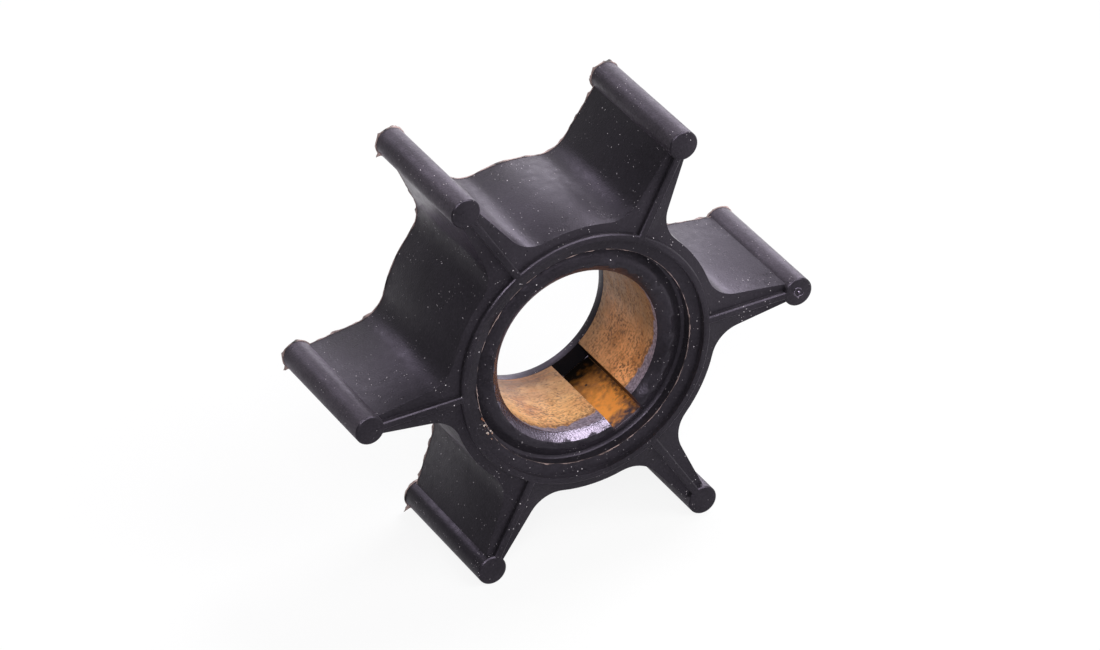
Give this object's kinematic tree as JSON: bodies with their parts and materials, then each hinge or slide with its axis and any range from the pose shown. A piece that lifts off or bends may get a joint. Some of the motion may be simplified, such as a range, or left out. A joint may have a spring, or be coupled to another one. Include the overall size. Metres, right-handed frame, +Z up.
{
  "type": "rubber pump impeller",
  "caption": "Flexible rubber vane impeller for a water pump, moulded round a bronze bush with a keyed shaft bore.",
  "frame": {"origin": "on the shaft axis at the middle of the width", "axes": "Y is the shaft axis, with the front end face towards -Y; +Z up; one vane points along +X, and the impeller stands on the two vanes that point down"},
  "size_m": [0.057, 0.0186, 0.0498],
  "materials": {
    "rubber": "moulded, satin, dusty",
    "bronze": "machined, tarnished"
  },
  "bodies": {
    "root": {"rubber_impeller": "rubber", "bronze_bush": "bronze"}
  },
  "joints": []
}
